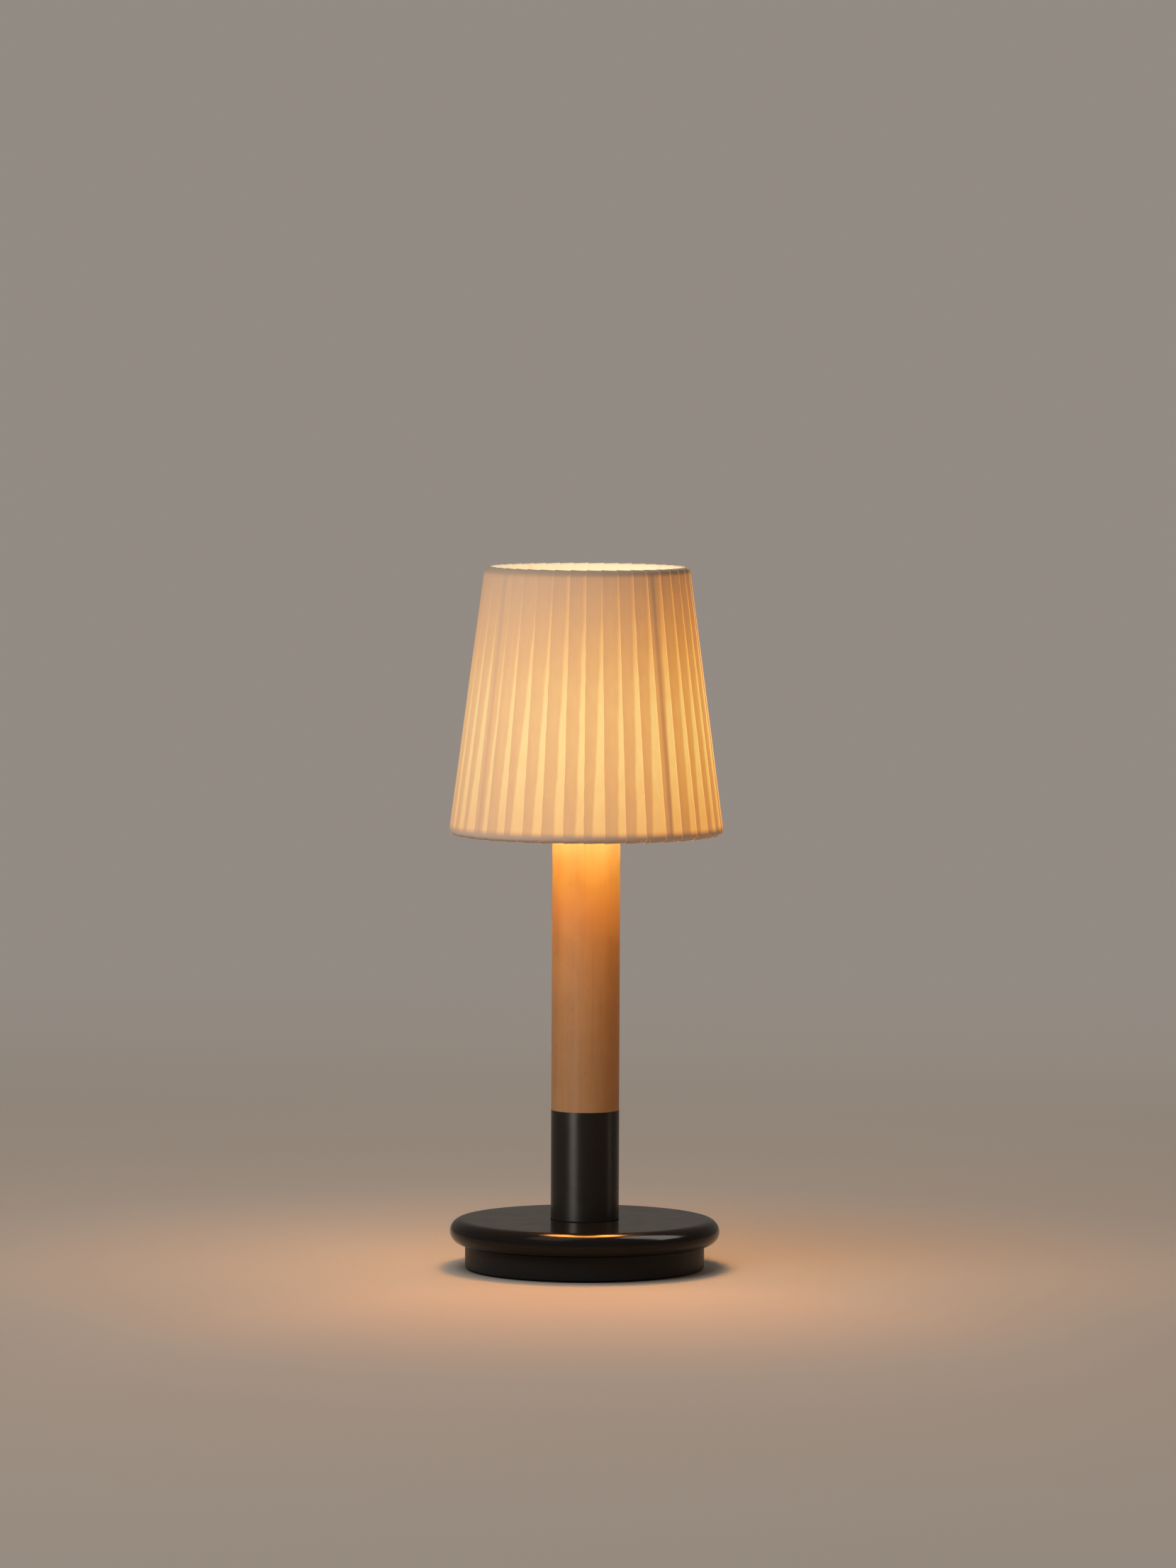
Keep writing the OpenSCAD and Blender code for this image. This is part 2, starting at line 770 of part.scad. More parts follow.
module fitter_arms() {
    reach = bottom_ring_r - (arm_z - bottom_ring_z) * tan(wall_lean);
    color("#d9d4c8") difference() {
        around(strut_count, 0, front_turn + strut_angle)
            translate([0, 0, arm_z]) rotate([0, 90, 0]) cylinder(r = strut_r, h = reach);
        translate([0, 0, collar_z - cut])
            cylinder(r = collar_r + weld_gap, h = collar_h + 2 * cut);
        strut_wires(strut_r + weld_gap);
    }
}

module top_ring() {
    color("#d9d4c8") wire_ring(top_ring_r, top_ring_z, ring_r);
}

module bottom_ring() {
    color("#d9d4c8") wire_ring(bottom_ring_r, bottom_ring_z, ring_r);
}

// Ribbons: each is one strip, hooked round both rings and lapped under its neighbour.
// A row is [centre radius, centre height, direction from that centre, lap in pitches].

tail_out = [ribbon_tail * sin(wall_lean), -ribbon_tail * cos(wall_lean)];
ribbon_rows = concat(
    [[bottom_ring_r - tail_out[0], bottom_ring_z - tail_out[1], 180 + wall_lean, bottom_lap]],
    [for (i = [0:hook_steps])
        [bottom_ring_r, bottom_ring_z, 180 + wall_lean + 180 * i / hook_steps, bottom_lap]],
    [for (i = [0:hook_steps])
        [top_ring_r, top_ring_z, wall_lean + 180 * i / hook_steps, top_lap]],
    [[top_ring_r + tail_out[0], top_ring_z + tail_out[1], 180 + wall_lean, top_lap]]
);
section_size = 6;

// A point on the many-sided wall of radius r, at p pitches from the first corner
function on_wall(r, p) =
    let (i = floor(p), a = ribbon_turn + i * pitch_turn, b = a + pitch_turn, f = p - i)
    r * flat_share * [(1 - f) * cos(a) + f * cos(b), (1 - f) * sin(a) + f * sin(b)];

// The point of ribbon k on a row, at p pitches from its free edge, on its inner or outer face
function ribbon_point(k, row, p, height) =
    let (off = ring_r + ribbon_gap + (row[3] - p) * layer_step + height,
         flat = on_wall(row[0] + off * cos(row[2]), k + p))
    [flat[0], flat[1], row[1] + off * sin(row[2])];

// The six corners of ribbon k on a row, round its section
function ribbon_section(k, row) = [
    for (p = [0, 1, row[3]]) ribbon_point(k, row, p, 0),
    for (p = [row[3], 1, 0]) ribbon_point(k, row, p, ribbon_t)
];

// The faces between two sections, each side of the section as two triangles
function side_faces(first) = [
    for (i = [0:len(ribbon_rows) - 2]) for (m = [0:section_size - 1])
        let (a = first + i * section_size + m,
             b = first + i * section_size + (m + 1) % section_size)
        each [[a, b, b + section_size], [a, b + section_size, a + section_size]]
];

// The faces that close a ribbon's two ends
function end_faces(first) =
    let (last = first + (len(ribbon_rows) - 1) * section_size)
    [for (f = [[0, 4, 1], [0, 5, 4], [1, 3, 2], [1, 4, 3]])
        each [[for (v = f) first + v], [for (v = [f[2], f[1], f[0]]) last + v]]];

module ribbons() {
    size = len(ribbon_rows) * section_size;
    color("#d9c2a2") polyhedron(
        points = [for (k = [0:ribbon_count - 1]) for (row = ribbon_rows)
            each ribbon_section(k, row)],
        faces = [for (k = [0:ribbon_count - 1])
            each concat(side_faces(k * size), end_faces(k * size))]
    );
}

base_disc();
plinth();
plinth_screws();
bottom_cover();
cover_screws();
foot_ring();
battery_tray();
tray_screws();
battery_cells();
cell_contacts();
cell_guard();
cell_leads();
control_board();
board_screws();
usb_socket();
switch_body();
charge_lens();
power_button();
clamp_rod();
rod_nut();
rod_washer();
stem_tube();
wood_stem();
lamp_head();
led_board();
leds();
led_screws();
diffuser();
lead_wires();
seat_washer();
fitter_collar();
fitter_arms();
frame_struts();
top_ring();
bottom_ring();
ribbons();
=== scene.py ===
"""Looks of the portable table lamp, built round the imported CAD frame. Metres, +Z up, the front faces -Y."""

import math
import random

import bmesh
import bpy
import numpy as np
from mathutils import Matrix, Vector


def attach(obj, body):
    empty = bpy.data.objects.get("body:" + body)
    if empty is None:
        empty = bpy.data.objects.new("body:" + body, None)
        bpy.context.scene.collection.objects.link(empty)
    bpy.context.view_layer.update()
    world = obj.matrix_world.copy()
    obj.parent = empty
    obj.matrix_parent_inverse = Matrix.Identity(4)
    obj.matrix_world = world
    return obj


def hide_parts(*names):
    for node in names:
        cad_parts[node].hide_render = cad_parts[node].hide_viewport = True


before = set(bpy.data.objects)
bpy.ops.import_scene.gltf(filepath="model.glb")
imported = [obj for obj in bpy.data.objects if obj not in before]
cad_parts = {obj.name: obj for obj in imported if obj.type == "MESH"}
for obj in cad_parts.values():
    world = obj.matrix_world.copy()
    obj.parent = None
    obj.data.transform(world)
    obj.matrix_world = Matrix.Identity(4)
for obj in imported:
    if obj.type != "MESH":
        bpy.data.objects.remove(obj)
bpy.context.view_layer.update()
MM = 0.001
rng = random.Random(40)
bpy.context.scene.view_settings.view_transform = "Standard"


def linear(r, g, b):
    """A colour as written on screen, from 0 to 255, as linear light."""
    def one(c):
        c /= 255
        return c / 12.92 if c <= 0.04045 else ((c + 0.055) / 1.055) ** 2.4
    return (one(r), one(g), one(b), 1.0)


def toned(colour, share):
    """A colour made darker or paler."""
    return (*(share * c for c in colour[:3]), 1)


# Camera, solved from the ellipses of the rims in the photograph

SENSOR = 36
LENS = 190.57
EYE = (0.0008, -4.7, 0.587)
LOOK_AT = (0.0008, 0, 0.2764)
ROLL = math.radians(0.25)
SIGHT = 60


def aim(obj, target, roll=0.0):
    """Turns obj so that its -Z points at target, with its X level apart from the roll."""
    way = (Vector(target) - obj.location).normalized()
    turn = way.to_track_quat("-Z", "Y").to_matrix()
    obj.rotation_euler = (turn @ Matrix.Rotation(roll, 3, "Z")).to_euler()


def make_camera():
    data = bpy.data.cameras.new("camera")
    data.sensor_width = SENSOR
    data.lens = LENS
    data.clip_end = SIGHT
    obj = bpy.data.objects.new("camera", data)
    bpy.context.scene.collection.objects.link(obj)
    obj.location = EYE
    aim(obj, LOOK_AT, ROLL)
    bpy.context.scene.camera = obj


make_camera()


# Light

# The room's colour, and how much of it lights the lamp and is mirrored by it
ROOM = (0.292, 0.259, 0.228)
FILL = 0.5
MIRRORED = 0.6
# Height that the studio lights are aimed at
MIDDLE = 0.2
# Plane just above the open bottom of the shade, and the width of the opening
MOUTH_Z = 0.25
MOUTH_WIDTH = 0.146
WARM = (1, 0.36, 0.08)


def seen_share(tree):
    """The room's strength.

    It is 1 for rays that look at the room, MIRRORED for those that mirror it, and FILL for those that
    gather its light.
    """
    path = tree.nodes.new("ShaderNodeLightPath")

    def most(a, b):
        made = tree.nodes.new("ShaderNodeMath")
        made.operation = "MAXIMUM"
        tree.links.new(a, made.inputs[0])
        tree.links.new(b, made.inputs[1])
        return made.outputs[0]

    share = tree.nodes.new("ShaderNodeMapRange")
    share.inputs["To Min"].default_value = FILL
    share.inputs["To Max"].default_value = MIRRORED
    mirrors = most(path.outputs["Is Glossy Ray"], path.outputs["Is Transmission Ray"])
    tree.links.new(mirrors, share.inputs["Value"])
    return most(path.outputs["Is Camera Ray"], share.outputs["Result"])


def make_world():
    world = bpy.data.worlds.new("room")
    bpy.context.scene.world = world
    world.use_nodes = True
    back = world.node_tree.nodes["Background"]
    back.inputs["Color"].default_value = (*ROOM, 1)
    world.node_tree.links.new(seen_share(world.node_tree), back.inputs["Strength"])


def linked(obj, **groups):
    """Limits a light to the objects that take it, or that throw shadows in it."""
    for kind, members in groups.items():
        group = bpy.data.collections.new(obj.name + "_" + kind)
        for member in members:
            group.objects.link(member)
        setattr(obj.light_linking, kind + "_collection", group)


def lamp(name, kind, power, colour, place, target=None, **settings):
    """A light that the camera doesn't see."""
    data = bpy.data.lights.new(name, kind)
    data.energy = power
    data.color = colour
    for key, value in settings.items():
        setattr(data, key, value)
    obj = bpy.data.objects.new(name, data)
    bpy.context.scene.collection.objects.link(obj)
    obj.location = place
    if target:
        aim(obj, target)
    obj.visible_camera = False
    return obj


def softbox(name, azimuth, rise, distance, size, power, colour=(1, 0.985, 0.96), only=()):
    """A rectangular studio light, aimed at the middle of the lamp.

    Azimuth counts in degrees from the front, towards the right, and rise in degrees above the middle.
    The light either lights everything and isn't mirrored, or it is only mirrored, by the nodes in only.
    """
    a, e = math.radians(azimuth - 90), math.radians(rise)
    level = distance * math.cos(e)
    place = (level * math.cos(a), level * math.sin(a), MIDDLE + distance * math.sin(e))
    obj = lamp(name, "AREA", power, colour, place, (0, 0, MIDDLE), shape="RECTANGLE", size=size[0],
               size_y=size[1])
    obj.visible_glossy, obj.visible_diffuse = bool(only), not only
    if only:
        linked(obj, receiver=[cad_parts[n] for n in only])
    return obj


BASE = ("base_disc", "plinth", "power_button")
DISC = ("base_disc",)
STEM = ("stem_tube", "wood_stem")
TUBE = ("stem_tube",)

make_world()
# Azimuth, rise, distance, size, power and colour
key = softbox("key", -46, 36, 2.6, (1.3, 1.3), 57, (0.82, 0.92, 1))
softbox("side", 72, 5, 2.4, (1.0, 1.0), 8, (1, 0.75, 0.5))
softbox("back", 170, 25, 2.4, (1.4, 1.0), 10)
# What the black lacquer mirrors: two large boxes above, for the two highlights on the edge of the disc, and
# strips beside the tube. strip_image is the one that the disc mirrors from the foot of the tube
softbox("high_left", -43, 64, 2.0, (1.1, 1.6), 8, (1, 0.9, 0.84), only=DISC)
softbox("high_right", 86, 47, 2.0, (0.95, 1.7), 42, (1, 0.9, 0.82), only=DISC)
low = softbox("strip_left", -40, -19.5, 0.3, (0.115, 0.3), 0.28, (1, 0.89, 0.79), only=STEM)
softbox("strip_right", 89, -14.5, 0.3, (0.06, 0.25), 0.055, (1, 0.9, 0.8), only=TUBE)
foot = softbox("strip_foot", -40, -28, 1.0, (0.31, 0.14), 3.2, (1, 0.93, 0.86), only=TUBE)
softbox("strip_image", -40, -3, 1.0, (0.31, 0.14), 4.5, (1, 0.93, 0.86), only=TUBE)
# These two reach below the floor, which must not hide them
low.data.use_shadow = foot.data.use_shadow = False
# The open bottom of the shade warms the stem, the base and the floor. No two discs lie in one plane,
# because one would hide the other
for name, width, place, power, colour in (
        ("mouth_glow", MOUTH_WIDTH, (0, 0, MOUTH_Z + 0.8 * MM), 0.6, (1, 0.49, 0)),
        ("mouth_left", 0.1, (-0.01, 0, MOUTH_Z + 1.2 * MM), 0.12, (1, 0.5, 0.2)),
        ("mouth_core", 0.075, (0, 0, MOUTH_Z + 1.6 * MM), 0.085, (0.02, 0.14, 1))):
    lamp(name, "AREA", power, colour, place, shape="DISK", size=width).visible_glossy = False
# The orange line that the shoulder of the disc mirrors
shine = lamp("mouth_shine", "AREA", 4.7, (1, 0.3, 0.05), (0, 0, MOUTH_Z + 0.4 * MM), shape="DISK",
             size=MOUTH_WIDTH)
shine.visible_diffuse = False
linked(shine, receiver=[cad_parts[n] for n in BASE])
# The pool of light on the floor, all round the lamp and stronger in front
pool_light = lamp("pool_glow", "SPOT", 0.87, WARM, (0, 0, 0.295), spot_size=math.radians(116),
                  spot_blend=0.35, shadow_soft_size=0.03)
pool_front = lamp("pool_front", "SPOT", 2.3, WARM, (0, 0, 0.29), (0, -0.26, 0), spot_size=math.radians(80),
                  spot_blend=1, shadow_soft_size=0.03)
pool_light.visible_glossy = pool_front.visible_glossy = False
wash = lamp("floor_wash", "AREA", 44, (1, 0.98, 0.96), (-0.6, -0.8, 2.4), (0, 0, 0), shape="DISK", size=2.2)
wash.visible_glossy = False


# Materials

class Shade:
    """A material under construction: one Principled shader and helpers for the nodes that feed it."""

    def __init__(self, name, base, rough=0.5, metal=0.0, **constants):
        self.mat = bpy.data.materials.new(name)
        self.mat.use_nodes = True
        self.tree = self.mat.node_tree
        self.tree.nodes.clear()
        self.out = self.node("OutputMaterial")
        self.bsdf = self.node("BsdfPrincipled")
        self.link(self.bsdf.outputs["BSDF"], self.out.inputs["Surface"])
        self.put("Base Color", base)
        self.put("Roughness", rough)
        self.put("Metallic", metal)
        for key, value in constants.items():
            self.put(key.replace("_", " "), value)

    def node(self, kind, **settings):
        made = self.tree.nodes.new("ShaderNode" + kind)
        for key, value in settings.items():
            setattr(made, key, value)
        return made

    def link(self, source, target):
        self.tree.links.new(source, target)

    def feed(self, target, value):
        """Links value to a socket if it is a socket, and otherwise sets it."""
        if isinstance(value, bpy.types.NodeSocket):
            self.link(value, target)
        else:
            target.default_value = value

    def put(self, socket, value):
        self.feed(self.bsdf.inputs[socket], value)

    def place(self, scale=(1, 1, 1), shift=(0, 0, 0)):
        """Object coordinates, stretched and shifted."""
        coords = self.node("TexCoord")
        mapping = self.node("Mapping")
        self.link(coords.outputs["Object"], mapping.inputs["Vector"])
        mapping.inputs["Scale"].default_value = scale
        mapping.inputs["Location"].default_value = shift
        return mapping.outputs["Vector"]

    def noise(self, vector, scale, detail=3.0, rough=0.5, distort=0.0):
        made = self.node("TexNoise")
        self.link(vector, made.inputs["Vector"])
        made.inputs["Scale"].default_value = scale
        made.inputs["Detail"].default_value = detail
        made.inputs["Roughness"].default_value = rough
        made.inputs["Distortion"].default_value = distort
        return made.outputs["Fac"]

    def maths(self, operation, a, b=0.0):
        made = self.node("Math", operation=operation)
        self.feed(made.inputs[0], a)
        self.feed(made.inputs[1], b)
        return made.outputs[0]

    def spread(self, value, low, high, to_low=0.0, to_high=1.0, smooth=True):
        """Value from low to high, turned into a share from to_low to to_high and held there beyond."""
        made = self.node("MapRange", interpolation_type="SMOOTHSTEP" if smooth else "LINEAR")
        self.feed(made.inputs["Value"], value)
        for name, number in zip(("From Min", "From Max", "To Min", "To Max"), (low, high, to_low, to_high)):
            self.feed(made.inputs[name], number)
        return made.outputs["Result"]

    def mix(self, share, a, b, kind="MIX"):
        made = self.node("Mix", data_type="RGBA", blend_type=kind)
        self.feed(made.inputs[0], share)
        self.feed(made.inputs[6], a)
        self.feed(made.inputs[7], b)
        return made.outputs[2]

    def ramp(self, share, stops, mode="LINEAR"):
        """Colours at their places along share."""
        made = self.node("ValToRGB")
        ramp = made.color_ramp
        ramp.interpolation = mode
        for at, colour in stops[1:-1]:
            ramp.elements.new(at).color = (*colour[:3], 1)
        for end, (at, colour) in ((0, stops[0]), (len(stops) - 1, stops[-1])):
            ramp.elements[end].position = at
            ramp.elements[end].color = (*colour[:3], 1)
        self.feed(made.inputs["Fac"], share)
        return made.outputs["Color"]

    def bump(self, height, strength, distance):
        made = self.node("Bump")
        made.inputs["Strength"].default_value = strength
        made.inputs["Distance"].default_value = distance
        self.link(height, made.inputs["Height"])
        self.put("Normal", made.outputs["Normal"])

    def attribute(self, name, output="Fac"):
        made = self.node("Attribute", attribute_name=name)
        return made.outputs[output]

    def height(self):
        """Height above the floor at rest."""
        split = self.node("SeparateXYZ")
        self.link(self.place(), split.inputs[0])
        return split.outputs["Z"]


def lacquer(name, base, rough, level=0.14, foot=None):
    """Satin lacquer on metal: a fine ripple, gloss that varies a little, and a painted seam shadow at the
    height foot.

    Level is the strength of the gloss.
    """
    s = Shade(name, base, rough, Specular_IOR_Level=level)
    where = s.place()
    cloud = s.noise(where, 22, 4, 0.6)
    colour = s.mix(cloud, toned(base, 0.82), toned(base, 1.25))
    gloss = s.spread(s.noise(where, 60, 5, 0.65), 0.3, 0.7, rough - 0.02, rough + 0.04)
    if foot:
        # Painted shadow: a thin dark line where the seam's shadow falls, at the height foot
        seam_shadow = s.spread(s.height(), foot + 0.3 * MM, foot + 0.6 * MM, 1, 0)
        colour = s.mix(seam_shadow, colour, (0.0005, 0.0005, 0.0005, 1))
        gloss = s.maths("MAXIMUM", gloss, seam_shadow)
    s.put("Base Color", colour)
    s.put("Roughness", gloss)
    s.bump(s.noise(where, 900, 2), 0.04, 0.0002)
    return s.mat


def turned(name, base, rough, pitch=0.4 * MM):
    """Metal with fine rings left by turning, pitch apart."""
    s = Shade(name, base, rough, metal=1.0)
    rings = s.node("TexWave", wave_type="RINGS", rings_direction="Z", wave_profile="SIN")
    s.link(s.place(), rings.inputs["Vector"])
    rings.inputs["Scale"].default_value = 0.314 / pitch
    rings.inputs["Distortion"].default_value = 0.6
    cloud = s.noise(s.place(), 160, 4)
    s.put("Roughness", s.spread(cloud, 0.3, 0.7, rough - 0.06, rough + 0.1))
    s.put("Base Color", s.mix(cloud, base, toned(base, 0.86)))
    s.bump(rings.outputs["Fac"], 0.12, 0.00005)
    return s.mat


def moulded(name, base, rough, grain=0.4 * MM, depth=0.1):
    """Moulded plastic or rubber with a spark-eroded grain of that size and depth."""
    s = Shade(name, base, rough)
    fine = s.noise(s.place(), 0.35 / grain, 3, 0.6)
    s.put("Roughness", s.spread(fine, 0.3, 0.7, rough - 0.05, rough + 0.08))
    s.put("Base Color", s.mix(s.noise(s.place(), 90, 3), base, toned(base, 0.8)))
    s.bump(fine, depth, grain / 2)
    return s.mat


# Heights over which the end of the wood that stands in the light of the mouth takes a painted light tint
LIT_TINT_FROM, LIT_TINT_TO = 0.2, 0.235


def wood():
    """Oiled beech: fine straight grain along the stem, short flecks, a faint curl across it, and a painted
    light tint at its top end.
    """
    s = Shade("wood", (0.3, 0.148, 0.058, 1), 0.5, Specular_IOR_Level=0.38)
    # A slow wander keeps the grain from being ruled
    grain = s.noise(s.place((1, 1, 0.035)), 420, 6, 0.62, 0.25)
    bands = s.noise(s.place((1, 1, 0.05), (0.3, 0.1, 0)), 75, 3, 0.5, 0.4)
    curl = s.noise(s.place((1, 0.6, 0.9), (0.05, 0.2, 0.4)), 55, 3, 0.55, 0.8)
    fleck = s.noise(s.place((1, 1, 0.13), (0.7, 0.2, 0.1)), 900, 2, 0.5)
    colour = s.mix(s.spread(bands, 0.35, 0.68), (0.325, 0.163, 0.066, 1), (0.275, 0.132, 0.05, 1))
    colour = s.mix(s.spread(grain, 0.45, 0.75, 0, 0.5), colour, (0.232, 0.105, 0.037, 1))
    colour = s.mix(s.spread(curl, 0.35, 0.7, 0, 0.4), colour, (0.36, 0.19, 0.083, 1))
    colour = s.mix(s.spread(fleck, 0.64, 0.74, 0, 0.32), colour, (0.19, 0.082, 0.03, 1))
    # Painted light: that end is tinted less red and more yellow, as the strong warm light of the mouth looks
    # on it
    pale = s.mix(1, colour, (0.78, 1.05, 0.89, 1), "MULTIPLY")
    s.put("Base Color", s.mix(s.spread(s.height(), LIT_TINT_FROM, LIT_TINT_TO), colour, pale))
    s.put("Roughness", s.spread(curl, 0.3, 0.7, 0.46, 0.6))
    s.bump(s.maths("SUBTRACT", grain, s.spread(fleck, 0.64, 0.76, 0, 0.8)), 0.16, 0.00012)
    return s.mat


def board(name, base, trace):
    """Solder mask with tracks under it."""
    s = Shade(name, base, 0.3)
    tracks = s.node("TexBrick")
    s.link(s.place((260, 260, 260)), tracks.inputs["Vector"])
    tracks.inputs["Color1"].default_value = base
    tracks.inputs["Color2"].default_value = trace
    tracks.inputs["Mortar"].default_value = toned(base, 0.7)
    tracks.inputs["Scale"].default_value = 1
    tracks.inputs["Mortar Size"].default_value = 0.06
    s.put("Base Color", tracks.outputs["Color"])
    s.bump(tracks.outputs["Fac"], 0.2, 0.00005)
    return s.mat


def glowing(name, base, light, strength):
    """A piece that gives light, a little uneven over its surface."""
    s = Shade(name, base, 0.35)
    uneven = s.noise(s.place(), 60, 2)
    s.put("Emission Color", s.mix(s.spread(uneven, 0.3, 0.7), light, toned(light, 0.9)))
    s.put("Emission Strength", strength)
    s.bump(s.noise(s.place(), 1500, 2), 0.05, 0.0001)
    return s.mat


# Heights between which the diffuser brightens above its foot, and dims towards its dome
OPAL_FOOT = (0.258, 0.285)
OPAL_DOME = (0.3, 0.326)


def opal():
    """Opal diffuser: brightest at its middle, softer at the foot and dome."""
    s = Shade("opal", (0.86, 0.78, 0.64, 1), 0.35)
    z = s.height()
    share = s.maths("MULTIPLY", s.spread(z, *OPAL_FOOT, 0.55, 1), s.spread(z, *OPAL_DOME, 1, 0.6))
    s.put("Emission Color", s.ramp(share, [(0.3, (0.6, 0.36, 0.14)), (1, (1.0, 0.84, 0.52))]))
    s.put("Emission Strength", 1.0)
    s.bump(s.noise(s.place(), 1200, 2), 0.04, 0.0001)
    return s.mat


STEEL = (0.55, 0.55, 0.53, 1)
# The mask, and the tracks that show through it
GREEN_BOARD = ((0.012, 0.07, 0.035, 1), (0.02, 0.11, 0.05, 1))
# Height of the joint between the tube and the disc
TUBE_FOOT = 28.4 * MM

LOOKS = {
    "base_disc": lacquer("black_metal", (0.0072, 0.0058, 0.0047, 1), 0.15, level=0.15),
    "stem_tube": lacquer("black_tube", (0.013, 0.0107, 0.0087, 1), 0.27, foot=TUBE_FOOT),
    "plinth": lacquer("black_plinth", (0.0078, 0.0083, 0.008, 1), 0.42),
    "bottom_cover": moulded("black_cover", (0.02, 0.019, 0.018, 1), 0.6, 0.5 * MM, 0.2),
    "foot_ring": moulded("rubber", (0.03, 0.029, 0.028, 1), 0.8, 0.3 * MM, 0.15),
    "battery_tray": moulded("tray_plastic", (0.05, 0.05, 0.055, 1), 0.5),
    "battery_cells": moulded("cell_wrap", (0.05, 0.16, 0.32, 1), 0.25, 2 * MM, 0.05),
    "cell_contacts": turned("nickel", (0.62, 0.6, 0.56, 1), 0.25, MM),
    "cell_guard": board("guard_board", *GREEN_BOARD),
    "cell_leads": moulded("wire_sleeve", (0.4, 0.04, 0.03, 1), 0.35),
    "control_board": board("board", *GREEN_BOARD),
    "switch_body": moulded("switch_plastic", (0.025, 0.025, 0.027, 1), 0.45),
    "power_button": moulded("button", (0.02, 0.018, 0.016, 1), 0.38, 0.3 * MM, 0.1),
    "charge_lens": moulded("clear_plastic", (0.62, 0.6, 0.55, 1), 0.25, 0.4 * MM, 0.05),
    "wood_stem": wood(),
    "lamp_head": turned("aluminium", (0.6, 0.58, 0.55, 1), 0.3),
    "led_board": board("light_board", (0.82, 0.8, 0.74, 1), (0.74, 0.72, 0.66, 1)),
    "leds": glowing("light_chip", (0.9, 0.7, 0.3, 1), (1, 0.86, 0.55, 1), 3),
    "diffuser": opal(),
    "seat_washer": moulded("nylon", (0.7, 0.67, 0.6, 1), 0.45),
}
steel = turned("steel", STEEL, 0.3, 0.6 * MM)
frame_wire = lacquer("frame_wire", (0.66, 0.61, 0.53, 1), 0.4, level=0.5)
for name in ("plinth_screws", "cover_screws", "tray_screws", "board_screws", "led_screws",
             "clamp_rod", "rod_nut", "rod_washer"):
    LOOKS[name] = steel
for name in ("fitter_collar", "fitter_arms", "frame_struts", "top_ring", "bottom_ring"):
    LOOKS[name] = frame_wire
LOOKS["usb_socket"] = LOOKS["cell_contacts"]
LOOKS["lead_wires"] = LOOKS["cell_leads"]


# Ribbons, in the numbers of the CAD frame

COUNT = 40
PITCH = math.radians(9)
FIRST = math.radians(-0.9)
# The rings: radius of the wire, and where its centre runs
WIRE = 2.0 * MM
TOP_R, TOP_Z = 55.204 * MM, 396.704 * MM
LOW_R, LOW_Z = 74.362 * MM, 250.938 * MM
LEAN = math.atan2(LOW_R - TOP_R, TOP_Z - LOW_Z)
STRUTS = [math.radians(-51.6 + 90 * i) for i in range(4)]
# The layers: gap to the wire, thickness, what a ribbon sinks in one pitch, and how far out they lie
# on average
GAP = 0.4 * MM
THICK = 0.24 * MM
STEP = 0.33 * MM
OUT = 3 * MM
TAIL = 5 * MM
# Width of a ribbon in pitches
TOP_LAP, LOW_LAP = 1.94, 1.49
TAIL_ROWS = 4
WALL_ROWS = 30
HOOK_ROWS = 10
COLUMNS = 12

# What the CAD leaves out, in pitches: how far each ribbon strays and differs in width, and how its
# edges wander
TOP_STRAY, LOW_STRAY = 0.04, 0.055
TOP_MORE, LOW_MORE = 0.07, 0.15
EDGE_WANDER, TUCK_WANDER = 0.03, 0.04
# In metres: how uneven the wall is, and how much the free edge stands up, over a few hundredths of a pitch
SWELL = 0.25 * MM
EDGE_LIFT, EDGE_REACH = 0.05 * MM, 0.08
# How much flatter taut ribbon is than the round ring
TAUT = 0.25
# How much of the inner side's glow a hook shows where it faces straight up or down, and how fast it
# gains inwards
TOP_FACING, LOW_FACING, INWARDS = 0.14, -0.1, 1.6


def ribbon_rows():
    """Rows along a ribbon: centre radius and height, direction from it, share of the way up, and distance."""
    rows = []
    down = (TAIL * math.sin(LEAN), TAIL * math.cos(LEAN))
    for i in range(TAIL_ROWS):
        s = 1 - i / TAIL_ROWS
        rows.append((LOW_R - down[0] * s, LOW_Z + down[1] * s, math.pi + LEAN, 0.0))
    for i in range(HOOK_ROWS + 1):
        rows.append((LOW_R, LOW_Z, math.pi + LEAN + math.pi * i / HOOK_ROWS, 0.0))
    for i in range(1, WALL_ROWS):
        s = i / WALL_ROWS
        rows.append((LOW_R + (TOP_R - LOW_R) * s, LOW_Z + (TOP_Z - LOW_Z) * s, LEAN, s))
    for i in range(HOOK_ROWS + 1):
        rows.append((TOP_R, TOP_Z, LEAN + math.pi * i / HOOK_ROWS, 1.0))
    for i in range(1, TAIL_ROWS + 1):
        s = i / TAIL_ROWS
        rows.append((TOP_R + down[0] * s, TOP_Z - down[1] * s, math.pi + LEAN, 1.0))
    return rows


class Wander:
    """A smooth random line: a few sines with random phases."""

    def __init__(self, size, slow=1.0, fast=4.0, terms=4):
        self.terms = [(size * rng.uniform(0.3, 1) / terms, rng.uniform(slow, fast), rng.uniform(0, math.tau))
                      for _ in range(terms)]

    def __call__(self, x):
        return sum(a * math.sin(math.tau * f * x + p) for a, f, p in self.terms)


def one_each(reach):
    """A random number for each ribbon."""
    return [rng.uniform(-reach, reach) for _ in range(COUNT)]


